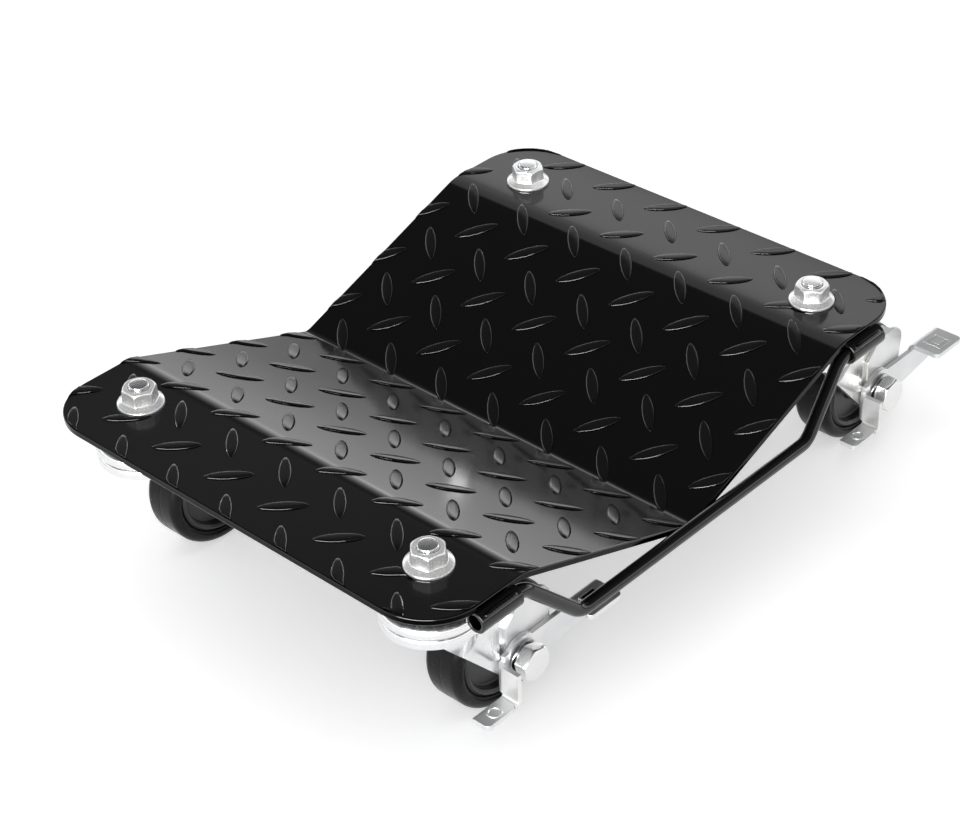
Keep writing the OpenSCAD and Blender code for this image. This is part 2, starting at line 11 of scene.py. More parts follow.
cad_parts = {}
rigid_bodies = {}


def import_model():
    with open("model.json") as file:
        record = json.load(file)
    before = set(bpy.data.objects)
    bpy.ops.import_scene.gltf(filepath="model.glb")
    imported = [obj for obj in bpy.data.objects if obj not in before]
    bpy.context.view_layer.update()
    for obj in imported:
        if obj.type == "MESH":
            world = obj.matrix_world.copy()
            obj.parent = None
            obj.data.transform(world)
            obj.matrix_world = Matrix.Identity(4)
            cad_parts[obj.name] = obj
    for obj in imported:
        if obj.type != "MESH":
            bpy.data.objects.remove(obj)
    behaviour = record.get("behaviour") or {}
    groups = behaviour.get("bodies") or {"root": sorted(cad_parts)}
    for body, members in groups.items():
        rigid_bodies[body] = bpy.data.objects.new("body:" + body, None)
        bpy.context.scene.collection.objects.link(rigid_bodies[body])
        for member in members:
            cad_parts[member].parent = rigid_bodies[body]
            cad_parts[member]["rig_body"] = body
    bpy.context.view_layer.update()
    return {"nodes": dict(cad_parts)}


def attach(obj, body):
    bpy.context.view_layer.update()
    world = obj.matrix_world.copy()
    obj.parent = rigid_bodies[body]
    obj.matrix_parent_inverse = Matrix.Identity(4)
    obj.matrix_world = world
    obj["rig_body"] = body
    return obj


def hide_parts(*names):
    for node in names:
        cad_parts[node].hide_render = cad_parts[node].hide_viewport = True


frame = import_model()
MM = 0.001


# Tread plate: one sheet of 4 mm steel floor plate, sheared with round corners and pressed into
# two outer bends and a valley, then powder coated in gloss black. The lozenges are rolled into it.
# The flat sides of the cut edges are painted shade: a near black metal finish there that hardly shines.

deck_half_l, deck_half_w, plate_t = 203.2 * MM, 152.4 * MM, 4 * MM
deck_z, corner_r, edge_r = 112 * MM, 34 * MM, 0.8 * MM
bend_x, valley_drop, bend_r, valley_r = 136.2 * MM, 49.5 * MM, 34 * MM, 9 * MM
slope = math.atan2(valley_drop, bend_x)
bend_cx = bend_x + bend_r * math.tan(slope / 2)
valley_cz = deck_z - valley_drop + valley_r / math.cos(slope)
bolt_x, bolt_y, nut_flange_r = 162.4 * MM, 111.5 * MM, 13.5 * MM
lug_l, lug_w, lug_h = 28 * MM, 7.5 * MM, 1.25 * MM
lug_pitch_x, lug_pitch_y, lug_start = 43 * MM, 42 * MM, (8 * MM, 2 * MM)
lug_tip, lug_sink, nut_gap = 0.05 * MM, 0.12 * MM, 1 * MM
# Where the columns of points on the slopes start and end, and where those on the flanges start
slope_in, slope_out, flange_in = 8 * MM, 128 * MM, 146 * MM


def bent(x):
    """Height and unit normal of the sheet's top over x: circle arcs at the outer bends and in the
    valley, joined by straight lines that touch them."""
    m = np.abs(x)
    bend_in, valley_out = bend_cx - bend_r * math.sin(slope), valley_r * math.sin(slope)
    rise = np.sqrt(np.maximum(bend_r ** 2 - np.minimum(m - bend_cx, 0) ** 2, 0))
    dip = np.sqrt(np.maximum(valley_r ** 2 - m ** 2, 0))
    zones = [m >= bend_cx, m >= bend_in, m >= valley_out]
    heights = [m * 0 + deck_z, deck_z - bend_r + rise, deck_z - (bend_x - m) * math.tan(slope)]
    z = np.select(zones, heights, valley_cz - dip)
    nx = np.select(zones, [m * 0, (m - bend_cx) / bend_r, m * 0 - math.sin(slope)], -m / valley_r)
    return z, nx * np.sign(x), np.sqrt(1 - nx ** 2)


def on_sheet(x, y, h):
    """Point at the height h above the sheet's top, square to it."""
    z, nx, nz = bent(x)
    return np.stack([x + h * nx, y + h * 0, z + h * nz], -1)


def grid_quads(rows, columns, wrap_rows=False, wrap_columns=False):
    """Corner numbers of all the quads of a grid of points that is numbered row by row."""
    r = np.arange(rows if wrap_rows else rows - 1)[:, None]
    c = np.arange(columns if wrap_columns else columns - 1)[None, :]
    r1, c1 = (r + 1) % rows, (c + 1) % columns
    quads = [r * columns + c, r * columns + c1, r1 * columns + c1, r1 * columns + c]
    return np.stack(quads, -1).reshape(-1, 4)


def capped(rings, sides):
    """Faces of a bar that is made of rings of points, with one flat face on each end."""
    ends = [list(range(sides))[::-1], list(range((rings - 1) * sides, rings * sides))]
    return grid_quads(rings, sides, wrap_columns=True).tolist() + ends


def plate_mesh():
    """The sheet as two grids, top and underside, whose columns follow x and whose rows share the width
    that the round-cornered outline leaves there, joined by a rim with a quarter circle on each edge.
    Returns also a value for each point that is 1 on the flat sides of the rim, which get painted shade, and 0
    elsewhere."""
    arc = np.linspace(0, math.pi / 2, 17)[1:]
    flat = np.concatenate([np.linspace(0, valley_r * math.sin(slope), 6),
                           np.linspace(slope_in, slope_out, 13),
                           np.linspace(bend_cx - bend_r * math.sin(slope), bend_cx, 13),
                           np.linspace(flange_in, deck_half_l - corner_r, 6)])
    base = np.concatenate([flat, arc * 0 + deck_half_l - corner_r])
    turn = np.concatenate([flat * 0, arc])
    base, turn = np.concatenate([-base[:0:-1], base]), np.concatenate([-turn[:0:-1], turn])
    v = np.concatenate([[-1, -0.998], np.linspace(-0.98, 0.98, 29), [0.998, 1]])

    def point(i, j, inset, h):
        x = base[i] + (corner_r - inset) * np.sin(turn[i])
        half = deck_half_w - corner_r + (corner_r - inset) * np.cos(turn[i])
        return on_sheet(x, v[j] * half, h)

    rows, columns = len(v), len(base)
    j, i = np.meshgrid(np.arange(rows), np.arange(columns), indexing="ij")
    top, under = point(i, j, edge_r, 0), point(i, j, edge_r, -plate_t)
    # The border of the grids, once round: along x, up y, back along x and down y
    ring_i = np.concatenate([np.arange(columns), np.full(rows - 2, columns - 1),
                             np.arange(columns)[::-1], np.zeros(rows - 2, int)])
    ring_j = np.concatenate([np.zeros(columns, int), np.arange(1, rows - 1),
                             np.full(columns, rows - 1), np.arange(1, rows - 1)[::-1]])
    a = np.linspace(0, math.pi / 2, 6)[1:]
    insets = np.concatenate([edge_r * (1 - np.sin(a)), edge_r * (1 - np.sin(a[::-1]))])
    depths = np.concatenate([-edge_r * (1 - np.cos(a)), -plate_t + edge_r * (1 - np.cos(a[::-1]))])
    rim = np.stack([point(ring_i, ring_j, e, d) for e, d in zip(insets, depths)])
    cap, n = rows * columns, len(ring_i)
    border = ring_j * columns + ring_i
    bands = np.vstack([border, 2 * cap + np.arange(len(insets) * n).reshape(-1, n), border + cap])
    nxt = np.roll(bands, -1, axis=1)
    rim_faces = np.stack([bands[:-1], bands[1:], nxt[1:], nxt[:-1]], -1).reshape(-1, 4)
    quads = grid_quads(rows, columns)
    points = np.concatenate([top.reshape(-1, 3), under.reshape(-1, 3), rim.reshape(-1, 3)])
    # The flat sides of the rim are marked here for painted shade
    rim_shade_mask = np.concatenate([np.zeros(2 * cap), np.repeat(insets < 0.01 * MM, n)])
    return points, [*quads.tolist(), *(quads[:, ::-1] + cap).tolist(), *rim_faces.tolist()], rim_shade_mask


def lug_mesh():
    """All lozenges at once, with the height of each point as a share of the full height. Each is a grid
    over u along it and w across it: its half width is (1 - u^2)^0.7, and it rises from there by a short
    steep flank to a nearly flat top that ends at the tips as (1 - |u|^5)^0.6."""
    half_rows, half_columns = 6, 5
    counts = np.arange(-half_rows, half_rows + 1), np.arange(-half_columns, half_columns + 1)
    turn, i, j = [g.ravel() for g in np.meshgrid([0, 1], *counts)]
    s = lug_start[0] + (i + turn / 2) * lug_pitch_x
    y0 = lug_start[1] + (j + turn / 2) * lug_pitch_y
    slope_l = math.hypot(bend_x, valley_drop)
    x0 = np.where(np.abs(s) < slope_l, s * math.cos(slope), np.sign(s) * (bend_x + np.abs(s) - slope_l))
    near_bolt = np.hypot(np.abs(x0) - bolt_x, np.abs(y0) - bolt_y) < nut_flange_r + nut_gap
    keep = (np.abs(x0) < deck_half_l) & (np.abs(y0) < deck_half_w) & ~near_bolt
    x0, y0, turn = x0[keep, None, None], y0[keep, None, None], turn[keep, None, None]
    u = np.sin(np.linspace(-1, 1, 9) * math.pi / 2)[None, :, None]
    w = np.array([-1, -0.88, -0.62, 0, 0.62, 0.88, 1])[None, None, :]
    rise = np.array([0, 0.72, 0.96, 1, 0.96, 0.72, 0])[None, None, :]
    half = lug_w / 2 * (1 - u ** 2) ** 0.7 + lug_tip
    a = math.radians(45) - turn * math.radians(90)
    x = x0 + u * lug_l / 2 * np.cos(a) - w * half * np.sin(a)
    y = y0 + u * lug_l / 2 * np.sin(a) + w * half * np.cos(a)
    share = rise * np.maximum(1 - np.abs(u) ** 5, 0) ** 0.6 + turn * 0
    # A lozenge that runs off the sheet, or under a nut, is cut off square there
    x = np.clip(x, -deck_half_l + edge_r, deck_half_l - edge_r)
    cx = np.maximum(np.abs(x) - deck_half_l + corner_r, 0)
    inner = corner_r - edge_r
    room = deck_half_w - corner_r + np.sqrt(np.maximum(inner ** 2 - np.minimum(cx, inner) ** 2, 0))
    y = np.clip(y, -room, room)
    bx, by = x - np.sign(x) * bolt_x, y - np.sign(y) * bolt_y
    d = np.maximum(np.hypot(bx, by), 1e-6)
    push = np.maximum((nut_flange_r + nut_gap) / d, 1) - 1
    points = on_sheet(x + bx * push, y + by * push, lug_h * share - lug_sink)
    n, nu, nw = points.shape[:3]
    quads = grid_quads(nu, nw)[None] + (np.arange(n) * nu * nw)[:, None, None]
    ring = np.concatenate([np.arange(nw), np.arange(1, nu) * nw + nw - 1,
                           (nu - 1) * nw + np.arange(nw - 1)[::-1], np.arange(1, nu - 1)[::-1] * nw])
    floors = ring[None] + (np.arange(n) * nu * nw)[:, None]
    faces = [*quads.reshape(-1, 4)[:, ::-1].tolist(), *floors.tolist()]
    return points.reshape(-1, 3), faces, share.ravel()


class Shade:
    """A socket of a material's node tree that takes part in Python sums, each of which adds a Math node."""

    def __init__(self, tree, socket=None):
        self.tree, self.socket = tree, socket

    def node(self, kind, settings=None, sockets=None, output=0):
        """Adds a node of that kind, with its settings first, then the values or links of its sockets."""
        made = self.tree.nodes.new("ShaderNode" + kind)
        for key, value in (settings or {}).items():
            if key == "stops":
                ramp = made.color_ramp.elements
                while len(ramp) < len(value):
                    ramp.new(0.5)
                for stop, (place, grey) in zip(ramp, value):
                    stop.position = place
                    stop.color = (grey, grey, grey, 1)
            else:
                setattr(made, key, value)
        for key, value in (sockets or {}).items():
            if isinstance(value, Shade):
                self.tree.links.new(value.socket, made.inputs[key])
            else:
                made.inputs[key].default_value = value
        return Shade(self.tree, made.outputs[output])

    def math(self, operation, a, b):
        """Adds a Math node with that operation on two values or sockets."""
        return self.node("Math", {"operation": operation}, {0: a, 1: b})

    def __add__(self, other):
        return self.math("ADD", self, other)

    def __radd__(self, other):
        return self.math("ADD", other, self)

    def __mul__(self, other):
        return self.math("MULTIPLY", self, other)

    def __rmul__(self, other):
        return self.math("MULTIPLY", other, self)

    def between(self, low, high):
        """0 below low, 1 above high, and straight between them."""
        return self.node("MapRange", {}, {"Value": self, "From Min": low, "From Max": high})

    def blend(self, dark, light):
        """Mixes two colours by this value."""
        return self.node("Mix", {"data_type": "RGBA"}, {0: self, 6: (*dark, 1), 7: (*light, 1)}, 2)

    def noise(self, scale, detail=3.0, stretch=(1, 1, 1)):
        """Noise over the piece's own coordinates, with grains of about 1/scale metres."""
        place = self.node("TexCoord", output=3)
        place = self.node("Mapping", {}, {"Vector": place, "Scale": stretch})
        return self.node("TexNoise", {}, {"Vector": place, "Scale": scale, "Detail": detail})


def finish_of(name, constants):
    """A new material with one surface shader; returns the material, its shader and a Shade to build on."""
    material = bpy.data.materials.new(name)
    material.use_nodes = True
    shader = material.node_tree.nodes["Principled BSDF"]
    for key, value in constants.items():
        shader.inputs[key].default_value = value
    return material, shader, Shade(material.node_tree)


def feed(shade, shader, **sockets):
    """Links finished values into the surface shader; underscores stand for spaces."""
    for key, value in sockets.items():
        shade.tree.links.new(value.socket, shader.inputs[key.replace("_", " ")])


# Powder coat: a hard gloss film with a faint orange peel and a little dust. Shoes and tyres have rubbed
# the tops of the lozenges to a duller, greyer skin. The flat sides of the cut edges get painted shade:
# a near black metal there that reflects almost nothing
gloss_black, shader, s = finish_of("gloss_black_powder_coat", {"IOR": 1.5})
peel, patch, dust = s.noise(420, 2), s.noise(9, 4), s.noise(2600, 2)
rubbed = s.node("Attribute", {"attribute_name": "lozenge_top"}, output=2).between(0.55, 0.95)
rubbed = rubbed * (0.75 + 0.25 * dust.between(0.35, 0.6))
# Painted shade: on the rim's flat sides the coat turns into a near black metal that reflects almost nothing
edge = s.node("Attribute", {"attribute_name": "sheared_edge"}, output=2)
feed(s, shader,
     Metallic=edge,
     Base_Color=rubbed.blend((0.0022, 0.0022, 0.0024), (0.0045, 0.0045, 0.0047)),
     Roughness=0.11 + patch.between(0.35, 0.75) * 0.04 + dust.between(0.5, 0.8) * 0.02 + rubbed * 0.1,
     Normal=s.node("Bump", {}, {"Strength": 0.2, "Distance": 0.02 * MM, "Height": peel}))


def add_piece(name, points, faces, material, body, slot, node):
    """Makes one smooth-shaded mesh piece, which rides on a body and stands for a solid of the frame."""
    mesh = bpy.data.meshes.new(name)
    mesh.from_pydata(np.asarray(points).tolist(), [], faces)
    mesh.shade_smooth()
    mesh.materials.append(material)
    piece = bpy.data.objects.new(name, mesh)
    bpy.context.scene.collection.objects.link(piece)
    piece.modifiers.new("even_normals", "WEIGHTED_NORMAL").weight = 100
    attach(piece, body)
    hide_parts(node)
    return piece


sheet_points, sheet_faces, rim_shade_mask = plate_mesh()
lug_points, lug_faces, lug_share = lug_mesh()
lug_faces = [[k + len(sheet_points) for k in face] for face in lug_faces]
plate = add_piece("tread_plate", np.concatenate([sheet_points, lug_points]), sheet_faces + lug_faces,
                  gloss_black, "frame", "black_gloss_paint", "deck_plate")
# The second value marks the rim's flat sides for painted shade
for name, shares in (("lozenge_top", [rim_shade_mask * 0, lug_share]), ("sheared_edge", [rim_shade_mask, lug_share * 0])):
    attribute = plate.data.attributes.new(name, "FLOAT", "POINT")
    attribute.data.foreach_set("value", np.concatenate(shares).astype(np.float32))


# Carry handle: one 8 mm steel rod, bent four times and coated black. Its ends turn in two short
# tubes that are welded under the edge of the deck.

rod_r, pivot = 4 * MM, (-151.5 * MM, 101.5 * MM)
rod_bend_r, rod_chamfer, handle_reach = 14 * MM, 0.5 * MM, 36 * MM
rod_end_x, leg_x, grip_x = 160 * MM, 136 * MM, 99 * MM
grip_y = -157 * MM
hang = math.asin((pivot[0] - grip_y) / handle_reach)


def rod_path(corners, radius, step):
    """Points and headings along a line in a plane whose corners are rounded to a radius: each arc runs
    between the points where it touches the two straight lines."""
    points = [corners[0]]
    for before, corner, after in zip(corners, corners[1:], corners[2:]):
        into, out = [(b - a) / np.linalg.norm(b - a) for a, b in ((before, corner), (corner, after))]
        angle = math.atan2(into[0] * out[1] - into[1] * out[0], into @ out)
        reach = radius * math.tan(abs(angle) / 2)
        side = np.array([-into[1], into[0]]) * np.sign(angle)
        centre = corner - into * reach + side * radius
        t = np.linspace(0, angle, max(int(abs(angle) / step), 4) + 1)[:, None]
        arm = (corner - into * reach - centre)[None]
        swung = arm * np.cos(t) + np.stack([-arm[:, 1], arm[:, 0]], -1) * np.sin(t)
        points += list(centre + swung)
    points.append(corners[-1])
    points = np.array(points)
    headings = np.vstack([points[1] - points[0], points[2:] - points[:-2], points[-1] - points[-2]])
    return points, headings / np.linalg.norm(headings, axis=1)[:, None]


def rod_mesh(points, headings, radius, chamfer, sides=28):
    """A round bar carried along a path in the XU plane: each ring is the path's point plus the radius
    times cos of the ring angle along the plane's normal and sin of it across the path."""
    along = np.concatenate([[0, chamfer], np.zeros(len(points) - 2), [-chamfer, 0]])
    size = np.full(len(points) + 2, radius)
    size[[0, -1]] = radius - chamfer
    where = np.vstack([points[0], points[0], points[1:-1], points[-1], points[-1]])
    heads = np.vstack([headings[0], headings[0], headings[1:-1], headings[-1], headings[-1]])
    where = where + heads * along[:, None]
    across = np.stack([-heads[:, 1], heads[:, 0]], -1)
    a = np.linspace(0, 2 * math.pi, sides, endpoint=False)[None, :]
    xu = where[:, None] + across[:, None] * (size[:, None] * np.sin(a))[..., None]
    n = size[:, None] * np.cos(a)
    points = np.stack([xu[..., 0], n, xu[..., 1]], -1).reshape(-1, 3)
    return points, capped(len(where), sides)


def hung(points):
    """Turns points from the handle's own plane, which hangs from the pivot, to their place at rest."""
    x, n, u = points.T
    return np.stack([x, pivot[0] + n * math.cos(hang) + u * math.sin(hang),
                     pivot[1] + u * math.cos(hang) - n * math.sin(hang)], -1)


corners = np.array([(-rod_end_x, 0), (-leg_x, 0), (-grip_x, -handle_reach),
                    (grip_x, -handle_reach), (leg_x, 0), (rod_end_x, 0)])
path, heads = rod_path(corners, rod_bend_r, 0.12)
bar, bar_faces = rod_mesh(path, heads, rod_r, rod_chamfer)
add_piece("swing_handle", hung(bar), bar_faces, gloss_black, "handle", "black_gloss_paint", "carry_handle")


def turned(profile, sides=48, wrap=True):
    """A profile of (radius, height) points turned round the z axis. One that wraps is a closed ring, and
    one that doesn't gets a flat face on each end."""
    profile = np.asarray(profile, float)
    a = np.linspace(0, 2 * math.pi, sides, endpoint=False)
    r, z = profile[:, :1], profile[:, 1:]
    points = np.stack([r * np.cos(a), r * np.sin(a), z + a * 0], -1).reshape(-1, 3)
    rings = len(profile)
    return points, grid_quads(rings, sides, True, True).tolist() if wrap else capped(rings, sides)


def joined(parts):
    """Several meshes as one list of points and faces."""
    points, faces = [], []
    for p, f in parts:
        start = sum(len(q) for q in points)
        points.append(p)
        faces += [[k + start for k in face] for face in f]
    return np.concatenate(points), faces


def weld_bead(length, radius, ripples, sides=14):
    """A fillet weld: a bar whose radius swells and sinks by a cosine with each ripple, and runs out at
    both ends with the eighth power of the distance from the middle."""
    t = np.linspace(0, 1, ripples * 5 + 1)[:, None]
    a = np.linspace(0, 2 * math.pi, sides, endpoint=False)[None, :]
    run_out = 1 - (2 * t - 1) ** 8 * 0.85
    ripple = 1 + 0.05 * np.cos(2 * math.pi * ripples * t + 0.7 * np.sin(a))
    r = radius * run_out * ripple
    points = np.stack([t * length + r * 0, r * np.cos(a), r * np.sin(a)], -1).reshape(-1, 3)
    return points, capped(len(t), sides)


sleeve_r, sleeve_bore, sleeve_l, sleeve_x = 6.5 * MM, 4.1 * MM, 30 * MM, 142 * MM
lip = 0.5 * MM
bead_l, bead_r, bead_out, bead_up, bead_ripples = 24 * MM, 1.9 * MM, 4.4 * MM, 4.7 * MM, 11
sleeve_profile = [(sleeve_r - lip, 0), (sleeve_r, lip),
                  (sleeve_r, sleeve_l - lip), (sleeve_r - lip, sleeve_l),
                  (sleeve_bore + lip, sleeve_l), (sleeve_bore, sleeve_l - lip),
                  (sleeve_bore, lip), (sleeve_bore + lip, 0)]
parts = []
for side in (-1, 1):
    p, f = turned(sleeve_profile)
    x0 = sleeve_x if side > 0 else -sleeve_x - sleeve_l
    parts.append((np.stack([p[:, 2] + x0, p[:, 0] + pivot[0], p[:, 1] + pivot[1]], -1), f))
    for bead_side in (-1, 1):
        p, f = weld_bead(bead_l, bead_r, bead_ripples)
        start = [x0 + (sleeve_l - bead_l) / 2, pivot[0] + bead_side * bead_out, pivot[1] + bead_up]
        parts.append((p + start, f))
add_piece("pivot_tubes", *joined(parts), gloss_black, "frame", "black_gloss_paint", "handle_sleeves")


# Deck nuts: cold-formed hexagon nuts with a washer face, run down on the studs of the casters. Their zinc
# is thick and pale, and rougher than that of the pressings.

nut_zinc, shader, s = finish_of("thick_zinc_plate", {"Metallic": 0.55})
cast, grain = s.noise(60, 3), s.noise(1500, 3)
feed(s, shader,
     Base_Color=cast.between(0.35, 0.65).blend((0.82, 0.83, 0.84), (0.9, 0.895, 0.88)),
     Roughness=0.2 + grain.between(0.3, 0.8) * 0.12,
     Normal=s.node("Bump", {}, {"Strength": 0.15, "Distance": 0.02 * MM, "Height": grain}))


def hex_part(rows, flats, bore=()):
    """Rings of points round z from rows of (radius, height, share), in millimetres: the radius is a
    circle's where the share is 0, and the smaller of the circle's and the hexagon's where it is 1. The
    rows of a bore run back down inside. Without one, a flat face closes each end."""
    offsets = np.radians([-29.4, -28, -20, -10, 0, 10, 20, 28, 29.4, 30])
    a = (np.radians(60) * np.arange(6)[:, None] + offsets[None]).ravel()
    side = flats / 2 / np.cos((a + math.pi / 6) % (math.pi / 3) - math.pi / 6)
    r, z, share = [np.array(v)[:, None] for v in zip(*rows, *((r, z, 0) for r, z in bore))]
    r = r * MM + (np.minimum(side[None], r * MM) - r * MM) * share
    points = np.stack([r * np.cos(a), r * np.sin(a), z * MM + r * 0], -1).reshape(-1, 3)
    return points, grid_quads(len(z), len(a), True, True).tolist() if bore else capped(len(z), len(a))


def turn_z(points, degrees):
    """Points turned round the z axis."""
    c, s = math.cos(math.radians(degrees)), math.sin(math.radians(degrees))
    x, y, z = points.T
    return np.stack([x * c - y * s, x * s + y * c, z], -1)


casters = {"left_brake": (-1, -1), "right_brake": (1, -1), "left_plain": (-1, 1), "right_plain": (1, 1)}
nut_rows = [(13.1, 0, 0), (13.5, 0.4, 0), (13.5, 1.5, 0), (13.1, 2.1, 0), (11.4, 2.9, 0), (10.5, 3.4, 0),
            (10.2, 3.9, 1), (10.2, 9.6, 1), (9.95, 10.6, 1), (9.4, 11.4, 1), (8.7, 11.85, 1), (8.2, 12, 1)]
nut_bore = [(7, 12), (6.5, 11.8), (6.05, 11.2), (6.05, 0.3)]
nut_flats, nut_turns = 18 * MM, (14, 38, 3, 26)
nuts = []
for (x, y), turn in zip(casters.values(), nut_turns):
    p, f = hex_part(nut_rows, nut_flats, nut_bore)
    nuts.append((turn_z(p, turn) + [x * bolt_x, y * bolt_y, deck_z], f))
add_piece("deck_nuts", *joined(nuts), nut_zinc, "frame", "bright_zinc", "flange_nuts")


# Swivel bearings: a pressed cup under the deck and a small race under the fork's crown, each with its ring
# of balls. One turned bolt per caster, with a hexagon head, a shoulder and a rolled thread, clamps both.
# All but the balls are plated in a thin, nearly mirror-like zinc with a blue and straw cast.

bright_zinc, shader, s = finish_of("bright_zinc_plate", {"Metallic": 0.94})
cast, marks, grain = s.noise(14, 3), s.noise(260, 3, (1, 1, 0.12)), s.noise(1900, 2)
feed(s, shader,
     Base_Color=cast.between(0.35, 0.65).blend((0.72, 0.73, 0.745), (0.8, 0.795, 0.78)),
     Roughness=0.16 + marks.between(0.3, 0.8) * 0.14 + grain.between(0.4, 0.8) * 0.05,
     Normal=s.node("Bump", {}, {"Strength": 0.3, "Distance": 0.03 * MM, "Height": marks + grain * 0.3}))


def thread(radius, length, pitch, sides=40):
    """A thread's end: the radius falls and climbs with z / pitch less the angle's share of a turn, under
    a chamfer and a low dome."""
    a = np.linspace(0, 2 * math.pi, sides, endpoint=False)[None, :]
    z = np.linspace(0, length, int(length / pitch * 8) + 1)[:, None]
    tooth = np.abs(((z / pitch - a / (2 * math.pi)) % 1) * 2 - 1)
    chamfer = np.maximum(z - length + 0.8 * MM, 0) * 1.1
    r = np.minimum(radius - 0.55 * pitch * tooth, radius - chamfer)
    dome = np.array([[0.8, 0.16], [0.5, 0.3], [0.2, 0.36]]) * [[radius * 0.8, MM]]
    r = np.vstack([r, dome[:, :1] + a * 0])
    z = np.vstack([z, length + dome[:, 1:]])
    points = np.stack([r * np.cos(a), r * np.sin(a), z + r * 0], -1).reshape(-1, 3)
    return points, capped(len(z), sides)


def arc(centre, radius, start, end, steps):
    """Points (radius, height) on a circle arc of a turned profile, in millimetres and degrees."""
    a = np.radians(np.linspace(start, end, steps))
    return [(centre[0] + radius * math.cos(t), centre[1] + radius * math.sin(t)) for t in a]


def softened(node, material, name, width):
    """A copy of a solid's surface with its edges broken by a small round, as a press or a file leaves."""
    source = frame["nodes"][node]
    piece = bpy.data.objects.new(name, source.data.copy())
    bpy.context.scene.collection.objects.link(piece)
    mesh = piece.data
    work = bmesh.new()
    work.from_mesh(mesh)
    bmesh.ops.remove_doubles(work, verts=work.verts, dist=0.002 * MM)
    bmesh.ops.dissolve_limit(work, angle_limit=math.radians(0.6), verts=work.verts, edges=work.edges)
    work.to_mesh(mesh)
    work.free()
    mesh.materials.clear()
    mesh.materials.append(material)
    mesh.shade_smooth()
    bevel = piece.modifiers.new("broken_edges", "BEVEL")
    bevel.width = width
    bevel.segments = 2
    bevel.limit_method = "ANGLE"
    bevel.angle_limit = math.radians(28)
    bevel.use_clamp_overlap = True
    bevel.harden_normals = False
    bevel.miter_outer = "MITER_ARC"
    piece.modifiers.new("even_normals", "WEIGHTED_NORMAL").weight = 100
    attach(piece, source["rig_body"])
    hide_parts(node)


bearing_steel, shader, s = finish_of("oiled_bearing_steel", {"Metallic": 1.0})
film = s.noise(220, 3)
feed(s, shader,
     Base_Color=film.between(0.3, 0.7).blend((0.5, 0.5, 0.52), (0.62, 0.62, 0.63)),
     Roughness=0.12 + film.between(0.3, 0.8) * 0.12,
     Normal=s.node("Bump", {}, {"Strength": 0.1, "Distance": 0.01 * MM, "Height": film}))

head_seat, hex_flats, bolt_turns = 76.9 * MM, 19 * MM, (50, 8, 33, 71)
thread_r, thread_pitch, stud_start, stud_l = 6 * MM, 1.75 * MM, 117 * MM, 8.6 * MM
cup = [(6.3, 108), (12.6, 108), (13.05, 107.7), (17.2, 93.9), (17.6, 93.25), (18.3, 93),
       *arc((24.5, 88.5), 4.5, 90, 0, 10),
       (29, 86.9), (28.65, 86.55), (26.8, 86.55), (26.5, 86.85), (26.5, 89.3), (25.4, 90.5),
       (15.8, 90.5), (15.3, 91.2), (11.3, 105), (10.8, 105.5), (6.3, 105.5)]
head_rows = [(8.8, 0, 0), (9.15, 0.15, 0), (9.15, 0.65, 0), (9.0, 0.8, 0), (10.5, 0.85, 1), (10.8, 1.1, 1),
             (10.8, 6.6, 1), (10.5, 7.4, 1), (9.95, 8.0, 1), (9.3, 8.35, 1), (8.9, 8.45, 1), (8.3, 8.5, 0)]
for (corner, (x, y)), turn in zip(casters.items(), bolt_turns):
    at = np.array([x * bolt_x, y * bolt_y, 0])
    p, f = turned(np.array(cup[::-1]) * MM, 96)
    add_piece("pressed_cup_" + corner, p + at, f, bright_zinc, "frame", "bright_zinc", "top_race_" + corner)
    head, head_faces = hex_part(head_rows, hex_flats)
    head = turn_z(head, turn) * [1, -1, -1] + [0, 0, head_seat]
    shoulder = turned(np.array([(7.2, 76), (7.5, 77), (7.5, 105.2), (7.2, 105.5)]) * MM, 48, wrap=False)
    shank = turned(np.array([(5.1, 105), (5.1, 119)]) * MM, 40, wrap=False)
    stud, stud_faces = thread(thread_r, stud_l, thread_pitch)
    stud = turn_z(stud, turn * 3) + [0, 0, stud_start]
    bolt, f = joined([(head, head_faces), shoulder, shank, (stud, stud_faces)])
    add_piece("swivel_bolt_" + corner, bolt + at, f, bright_zinc, "frame", "bright_zinc", "kingpin_" + corner)
    softened("lower_race_" + corner, bright_zinc, "small_race_" + corner, 0.25 * MM)
    balls = frame["nodes"]["swivel_balls_" + corner]
    for skin in balls.material_slots:
        skin.link = "OBJECT"
        skin.material = bearing_steel


# Forks: crown, flared side walls and two legs, deep drawn and blanked from one 3 mm steel sheet, tumbled
# and plated bright. The press leaves soft edges.

for corner in casters:
    softened("fork_" + corner, bright_zinc, "pressed_fork_" + corner, 0.6 * MM)


# Wheels: a solid rubber tyre moulded round a hard black plastic centre, on a steel tube. The mould leaves
# a satin skin with faint flow lines, a parting line round the tread and a lip on each face of the rim.

trail, axle_z = 41 * MM, 38 * MM


def on_axle(points, corner, towards=1):
    """Carries a shape that is turned round z to a caster's axle, its z axis pointing to +Y or to -Y."""
    x, y, z = points.T
    sx, sy = casters[corner]
    return np.stack([x + sx * bolt_x + trail, towards * z + sy * bolt_y, axle_z - towards * y], -1)


def both_faces(half_profile):
    """A closed turned profile from its half on the +z side, which starts at the bore and ends outside."""
    return np.array([*half_profile, *[(r, -z) for r, z in half_profile[::-1]]]) * MM


